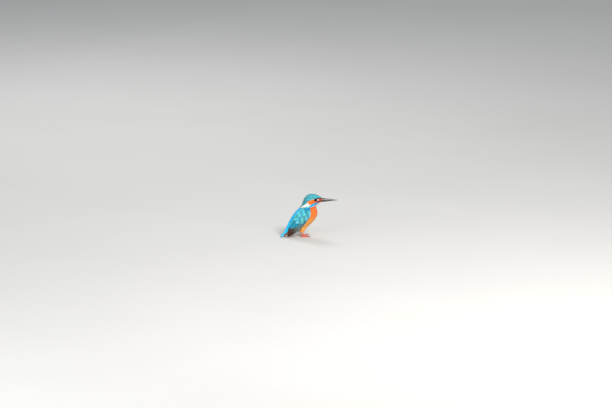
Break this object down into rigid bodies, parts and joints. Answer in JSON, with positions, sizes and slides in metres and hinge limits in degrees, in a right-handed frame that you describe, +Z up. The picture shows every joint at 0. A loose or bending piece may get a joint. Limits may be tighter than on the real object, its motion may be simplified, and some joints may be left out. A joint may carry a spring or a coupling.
{
  "type": "common kingfisher",
  "caption": "Life-size still model of a common kingfisher standing at rest, wings folded, with a long straight bill and a short tail that touches the ground.",
  "frame": {"origin": "on the ground, under the middle of the bird's length and width", "axes": "+X the way the bird faces, +Y its left side, +Z up"},
  "size_m": [0.135, 0.0452, 0.0988],
  "materials": {
    "crown_feathers": "soft dark green-blue feathers barred with pale blue",
    "neck_feathers": "soft white feathers",
    "body_feathers": "soft silky orange feathers, azure along the back",
    "wing_feathers": "firm green-blue feathers with a slight sheen and pale spots",
    "tail_feathers": "firm blue feathers with a slight sheen",
    "bill_horn": "satin black horn",
    "eye": "wet gloss dark brown",
    "foot_skin": "finely scaled coral red skin"
  },
  "bodies": {
    "root": {"head": "crown_feathers", "neck": "neck_feathers", "trunk": "body_feathers", "bill_upper": "bill_horn", "bill_lower": "bill_horn", "eye_left": "eye", "eye_right": "eye", "wing_left": "wing_feathers", "wing_right": "wing_feathers", "tail": "tail_feathers", "thigh_left": "body_feathers", "thigh_right": "body_feathers", "foot_left": "foot_skin", "foot_right": "foot_skin"}
  },
  "joints": []
}
